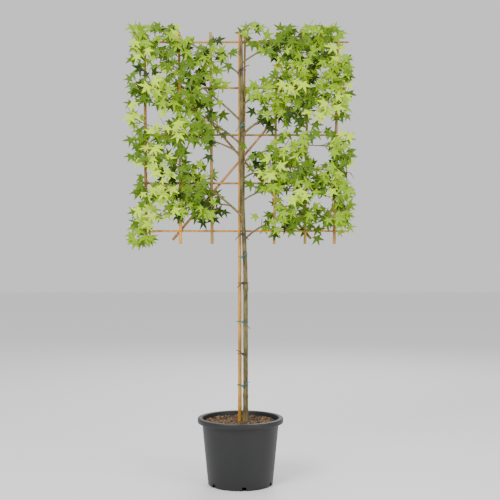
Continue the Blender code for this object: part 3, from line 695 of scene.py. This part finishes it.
def cane_run(start, end, first_radius, last_radius, spacing, swell):
    """A straight cane as a run of points, thicker at each node."""
    length = (end - start).length
    steps = max(2, round(length / CANE_STEP))
    points, radii = [], []
    for i in range(steps + 1):
        share = i / steps
        away = abs((share * length + spacing * FIRST_NODE) % spacing - spacing / 2)
        node = math.exp(-((away / NODE_LENGTH) ** 2))
        points.append(start.lerp(end, share))
        radii.append((first_radius + (last_radius - first_radius) * share) * (1 + swell * node))
    return points, radii, False


def upright_line(number):
    top_x, foot_x, width = UPRIGHTS[number]
    foot = Vector((foot_x, FRAME_BACK - width / 2, FRAME_TOP - FRAME_SIDE))
    top = Vector((top_x, FRAME_BACK - width / 2 * UPRIGHT_TAPER, FRAME_TOP))
    return foot, top, width / 2


class SWEETGUM_OT_pot(bpy.types.Operator):
    """Makes the black pot with its rolled lip and drainage notches"""

    bl_idname = "sweetgum.pot"
    bl_label = "Pot"

    def execute(self, context):
        settings = context.scene.sweetgum_pot
        rim, rounding = POT_RIM_DIAMETER / 2, POT_ROUNDING
        under = POT_HEIGHT - POT_LIP_HEIGHT
        inner_top = pot_wall_radius(POT_HEIGHT - rounding) - POT_WALL
        profile = [(0, 0)]
        profile += arc((POT_FOOT_DIAMETER / 2 - rounding, rounding), rounding, -90, -10)
        profile += [(pot_wall_radius(under * s), under * s) for s in (0.25, 0.5, 0.75, 1)]
        profile += arc((rim - POT_WALL, under + POT_WALL), POT_WALL, -90, 0)
        profile += arc((rim - rounding, POT_HEIGHT - rounding), rounding, 0, 90)
        profile += arc((inner_top + rounding, POT_HEIGHT - rounding), rounding, 90, 180)
        profile += [(pot_wall_radius(POT_WALL) - POT_WALL, POT_WALL), (0, POT_WALL)]
        body = as_mesh("pot_body", turned(profile, settings.segments))
        mesh = cut_mesh(body, notch_cutters())
        mesh.set_sharp_from_angle(angle=math.radians(40))
        plastic = finish("pot_plastic", shade(settings.colour, 1.3), settings.colour, 90, 0.50, 0.12)
        piece("pot_shell", mesh, plastic, "pot_plastic", "pot")
        return {"FINISHED"}


class SWEETGUM_OT_compost(bpy.types.Operator):
    """Makes the uneven compost and the bark chips that lie on it"""

    bl_idname = "sweetgum.compost"
    bl_label = "Compost"

    def execute(self, context):
        settings = context.scene.sweetgum_pot
        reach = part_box("soil")[1][0]
        top = TRUNK_FOOT - COMPOST_BELOW
        rings = COMPOST_RINGS
        profile = [((reach - COMPOST_GAP) * i / rings, top) for i in range(rings + 1)]
        profile += [(reach - COMPOST_TUCK, top - COMPOST_SKIN), (0, top - COMPOST_SKIN)]
        mesh = as_mesh("compost", turned(profile, COMPOST_SEGMENTS))
        for vertex in mesh.vertices:
            if vertex.co.z > top - COMPOST_GAP:
                lump = noise.fractal(vertex.co * COMPOST_LUMPS, 0.9, 2.0, 5)
                vertex.co.z += COMPOST_RELIEF * lump
        brown = settings.compost
        surface = finish("compost", shade(brown, 1.9), shade(brown, 0.5), 160, 0.95, 0.9)
        piece("compost_top", mesh, surface, "compost", "soil")
        rng = random.Random(7)
        tints = {"dark": shade(brown, 1.3), "tan": CHIP_TAN}
        for tint, colour in tints.items():
            shape = bmesh.new()
            for _ in range(settings.chips // len(tints)):
                add_chip(shape, reach, top, rng)
            surface = finish(f"chip_{tint}", shade(colour, 1.3), shade(colour, 0.6), 120, 0.9, 0.5)
            piece(f"bark_chips_{tint}", as_mesh(f"chips_{tint}", shape, smooth=False), surface, "compost")
        return {"FINISHED"}


class SWEETGUM_OT_wood(bpy.types.Operator):
    """Makes the trunk and the boughs with their bark"""

    bl_idname = "sweetgum.wood"
    bl_label = "Trunk and boughs"

    def execute(self, context):
        settings = context.scene.sweetgum_wood
        bark = settings.bark
        heights = [TRUNK_FOOT - TRUNK_SUNK]
        while heights[-1] < TRUNK_TOP - TRUNK_STEP:
            heights.append(heights[-1] + TRUNK_STEP)
        heights.append(TRUNK_TOP)
        run = ([trunk_middle(h) for h in heights], [trunk_radius(h) for h in heights], False)
        mesh = tubes("trunk", [run], 8)
        roughen(mesh, settings.relief, BARK_ACROSS, BARK_ALONG)
        surface = finish("bark", shade(bark, 1.25), shade(bark, 0.42), 60, 0.85, 0.7, (1, 1, 0.35))
        piece("trunk_bark", mesh, surface, "bark", "trunk")
        runs = []
        for name in LIMBS:
            points, radii = stretch_of(name, 0.0, LIMBS[name].bare + LIMB_LAP)
            runs.append((points, radii, False))
        mesh = tubes("boughs", runs, 5)
        roughen(mesh, settings.relief * BOUGH_RELIEF, BOUGH_GRAIN, BOUGH_GRAIN)
        surface = finish("young_bark", shade(bark, 1.5), shade(bark, 0.6), 90, 0.8, 0.5)
        piece("boughs_bark", mesh, surface, "young_bark", *[f"bough_{name}" for name in LIMBS])
        return {"FINISHED"}


class SWEETGUM_OT_bamboo(bpy.types.Operator):
    """Makes the stake, the cane frame and the lashings where canes cross"""

    bl_idname = "sweetgum.bamboo"
    bl_label = "Bamboo"

    def execute(self, context):
        settings = context.scene.sweetgum_wood
        swell = settings.node_swell
        groups = {"golden": [], "tan": [], "olive": []}
        nodes = {tint: [] for tint in groups}
        foot_radius, top_radius = STAKE_FOOT_DIAMETER / 2, STAKE_TOP_DIAMETER / 2
        foot = Vector((STAKE_FOOT_X, FRAME_BACK - foot_radius, TRUNK_FOOT - STAKE_DEPTH))
        top = Vector((STAKE_TOP_X, FRAME_BACK - top_radius, FRAME_TOP))
        groups["golden"].append(cane_run(foot, top, foot_radius, top_radius, STAKE_NODES, swell))
        nodes["golden"].append("stake")
        for i in range(len(UPRIGHTS)):
            foot, top, radius = upright_line(i)
            tint = UPRIGHT_TINTS[i % len(UPRIGHT_TINTS)]
            run = cane_run(foot, top, radius, radius * UPRIGHT_TAPER, STAKE_NODES, swell)
            groups[tint].append(run)
            nodes[tint].append(f"cane_upright_{i + 1}")
        rail_y = FRAME_BACK + CLEAR + RAIL_DIAMETER / 2
        for i, height in enumerate(RAIL_HEIGHTS):
            start = Vector((RAIL_LEFT, rail_y, height))
            tint = RAIL_TINTS[i]
            end = start + Vector((FRAME_SIDE, 0, 0))
            radius = RAIL_DIAMETER / 2
            groups[tint].append(cane_run(start, end, radius, radius * RAIL_TAPER, RAIL_NODES, swell))
            nodes[tint].append(f"cane_rail_{i + 1}")
        brace_y = rail_y + RAIL_DIAMETER / 2 + CLEAR + BRACE_DIAMETER / 2
        for i, (low, high) in enumerate(BRACES):
            y = brace_y + i * (BRACE_DIAMETER + CLEAR)
            start, end = Vector((low[0], y, low[1])), Vector((high[0], y, high[1]))
            radius = BRACE_DIAMETER / 2
            groups["tan"].append(cane_run(start, end, radius, radius * RAIL_TAPER, BRACE_NODES, swell))
            nodes["tan"].append(f"cane_brace_{i + 1}")
        colours = {"golden": settings.bamboo, "tan": TAN_CANE, "olive": OLIVE_CANE}
        for tint, runs in groups.items():
            colour = colours[tint]
            surface = finish(
                f"bamboo_{tint}", shade(colour, 1.2), shade(colour, 0.55), 26, 0.38, 0.15, (1, 1, 0.25)
            )
            piece(f"canes_{tint}", tubes(f"canes_{tint}", runs, 6), surface, "bamboo", *nodes[tint])
        self.lash()
        return {"FINISHED"}

    def lash(self):
        """Two thin loops of cord cross over each upright and rail."""
        runs = []
        for i in range(len(UPRIGHTS)):
            foot, top, radius = upright_line(i)
            for height in RAIL_HEIGHTS:
                spot = foot.lerp(top, (height - foot.z) / (top.z - foot.z))
                spot.y = FRAME_BACK
                for side in (-1, 1):
                    slant = Vector((side, 0, 1)).normalized()
                    points = []
                    for step in range(LASH_STEPS):
                        turn = math.tau * step / LASH_STEPS
                        across = slant * math.cos(turn) * (radius + LASH_WIDER)
                        through = ACROSS * math.sin(turn) * (radius * LASH_DEPTH + LASH_DEEPER)
                        points.append(spot + across + through)
                    runs.append((points, [LASH_CORD] * len(points), True))
        surface = finish("lashing", (0.30, 0.22, 0.13), (0.14, 0.10, 0.06), 200, 0.8, 0.3)
        piece("cane_lashings", tubes("lashings", runs, 1), surface, "bamboo")


class SWEETGUM_OT_ties(bpy.types.Operator):
    """Gives the ties their rubber, and their knots and tails"""

    bl_idname = "sweetgum.ties"
    bl_label = "Ties"

    def execute(self, context):
        black = finish("tie_black", (0.03, 0.032, 0.034), (0.012, 0.013, 0.014), 150, 0.6, 0.2)
        teal = finish("tie_teal", (0.05, 0.21, 0.17), (0.02, 0.10, 0.085), 150, 0.6, 0.2)
        rng = random.Random(5)
        runs = {"black": [], "teal": []}
        for i, height in enumerate(TIE_HEIGHTS):
            number = i + 1
            is_teal = number in TEAL_TIES
            node = frame["nodes"][f"tie_{number}"]
            node.data.materials.clear()
            node.data.materials.append(teal if is_teal else black)
            low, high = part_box(f"tie_{number}")
            knot = Vector(((low[0] + high[0]) / 2, low[1] - KNOT_STANDS_OFF, height))
            tint = "teal" if is_teal else "black"
            bead = [knot - UP * KNOT_HALF, knot, knot + UP * KNOT_HALF]
            runs[tint].append((bead, KNOT_RADII, False))
            for side in (-1, 1):
                out = Vector((side * rng.uniform(*TAIL_REACH), -TAIL_FORWARD, rng.uniform(*TAIL_RISE)))
                tail = [knot, knot + out * 0.5 + UP * TAIL_ARCH, knot + out]
                runs[tint].append((tail, TAIL_RADII, False))
        for tint, surface in (("black", black), ("teal", teal)):
            piece(f"tie_knots_{tint}", tubes(f"knots_{tint}", runs[tint], 2), surface, "tie_rubber")
        return {"FINISHED"}


class SWEETGUM_OT_foliage(bpy.types.Operator):
    """Grows the twigs, stalks and leaves on from the boughs"""

    bl_idname = "sweetgum.foliage"
    bl_label = "Foliage"

    def execute(self, context):
        settings = context.scene.sweetgum_foliage
        crown = Crown(settings)
        crown.grow()
        bark = context.scene.sweetgum_wood.bark
        surface = finish("twig_bark", shade(bark, 1.6), shade(bark, 0.7), 120, 0.75, 0.3)
        masses = [f"foliage_{name}" for name in LIMBS] + ["foliage_leader"]
        piece("twigs", tubes("twigs", crown.twigs, 1), surface, "young_bark", *masses)
        surface = finish("leaf_stalk", (0.52, 0.56, 0.17), (0.36, 0.38, 0.10), 60, 0.6, 0.1)
        piece("leaf_stalks", tubes("stalks", crown.stalks, 0), surface, "leaf_green")
        rng = random.Random(settings.seed + 1)
        templates = [leaf_template(f"leaf_{i + 1}", rng) for i in range(6)]
        for tint, places in crown.leaves.items():
            if not places:
                raise RuntimeError(f"no {tint} leaves grew")
            mesh = joined_leaves(f"leaves_{tint}", templates, places, rng)
            surface = plain_finish(f"leaf_{tint}", getattr(settings, tint))
            piece(f"leaves_{tint}", mesh, surface, "leaf_green")
        return {"FINISHED"}


class SWEETGUM_OT_stage(bpy.types.Operator):
    """Sets the floor, the light and the camera"""

    bl_idname = "sweetgum.stage"
    bl_label = "Stage"

    def execute(self, context):
        settings = context.scene.sweetgum_stage
        scene = context.scene
        shape = bmesh.new()
        bmesh.ops.create_grid(shape, x_segments=1, y_segments=1, size=FLOOR_SIZE)
        floor = bpy.data.objects.new("floor", as_mesh("floor", shape))
        scene.collection.objects.link(floor)
        floor.data.materials.append(plain_finish("floor", settings.floor))
        world = bpy.data.worlds.new("studio")
        world.use_nodes = True
        sky = world.node_tree.nodes["Background"]
        sky.inputs["Color"].default_value = (1, 1, 1, 1)
        sky.inputs["Strength"].default_value = WORLD_STRENGTH
        scene.world = world
        target = Vector(settings.camera_target)
        for name, (place, power) in LAMPS.items():
            light = bpy.data.lights.new(name, "AREA")
            light.energy = power
            light.size = LAMP_SIZE
            lamp = bpy.data.objects.new(name, light)
            lamp.location = place
            lamp.rotation_euler = (target - Vector(place)).to_track_quat("-Z", "Y").to_euler()
            scene.collection.objects.link(lamp)
        lens = bpy.data.cameras.new("camera")
        lens.sensor_width = SENSOR_WIDTH
        lens.lens = settings.lens
        camera = bpy.data.objects.new("camera", lens)
        camera.location = settings.camera_place
        camera.rotation_euler = (target - camera.location).to_track_quat("-Z", "Y").to_euler()
        scene.collection.objects.link(camera)
        scene.camera = camera
        return {"FINISHED"}


class SWEETGUM_PT_panel(bpy.types.Panel):
    bl_label = "Pleached Sweetgum"
    bl_idname = "SWEETGUM_PT_panel"
    bl_space_type = "VIEW_3D"
    bl_region_type = "UI"
    bl_category = "Sweetgum"

    def draw(self, context):
        for operator in OPERATORS:
            self.layout.operator(operator.bl_idname)
        for group in SETTINGS:
            settings = getattr(context.scene, group)
            for name in settings.__annotations__:
                self.layout.prop(settings, name)


SETTINGS = {
    "sweetgum_pot": PotSettings,
    "sweetgum_wood": WoodSettings,
    "sweetgum_foliage": FoliageSettings,
    "sweetgum_stage": StageSettings,
}
OPERATORS = (
    SWEETGUM_OT_pot,
    SWEETGUM_OT_compost,
    SWEETGUM_OT_wood,
    SWEETGUM_OT_bamboo,
    SWEETGUM_OT_ties,
    SWEETGUM_OT_foliage,
    SWEETGUM_OT_stage,
)


def register():
    for name, group in SETTINGS.items():
        bpy.utils.register_class(group)
        setattr(bpy.types.Scene, name, bpy.props.PointerProperty(type=group))
    for operator in OPERATORS:
        bpy.utils.register_class(operator)
    bpy.utils.register_class(SWEETGUM_PT_panel)


def unregister():
    bpy.utils.unregister_class(SWEETGUM_PT_panel)
    for operator in reversed(OPERATORS):
        bpy.utils.unregister_class(operator)
    for name, group in SETTINGS.items():
        delattr(bpy.types.Scene, name)
        bpy.utils.unregister_class(group)


def main():
    register()
    for make in ("pot", "compost", "wood", "bamboo", "ties", "foliage", "stage"):
        getattr(bpy.ops.sweetgum, make)()


if __name__ == "__main__":
    main()
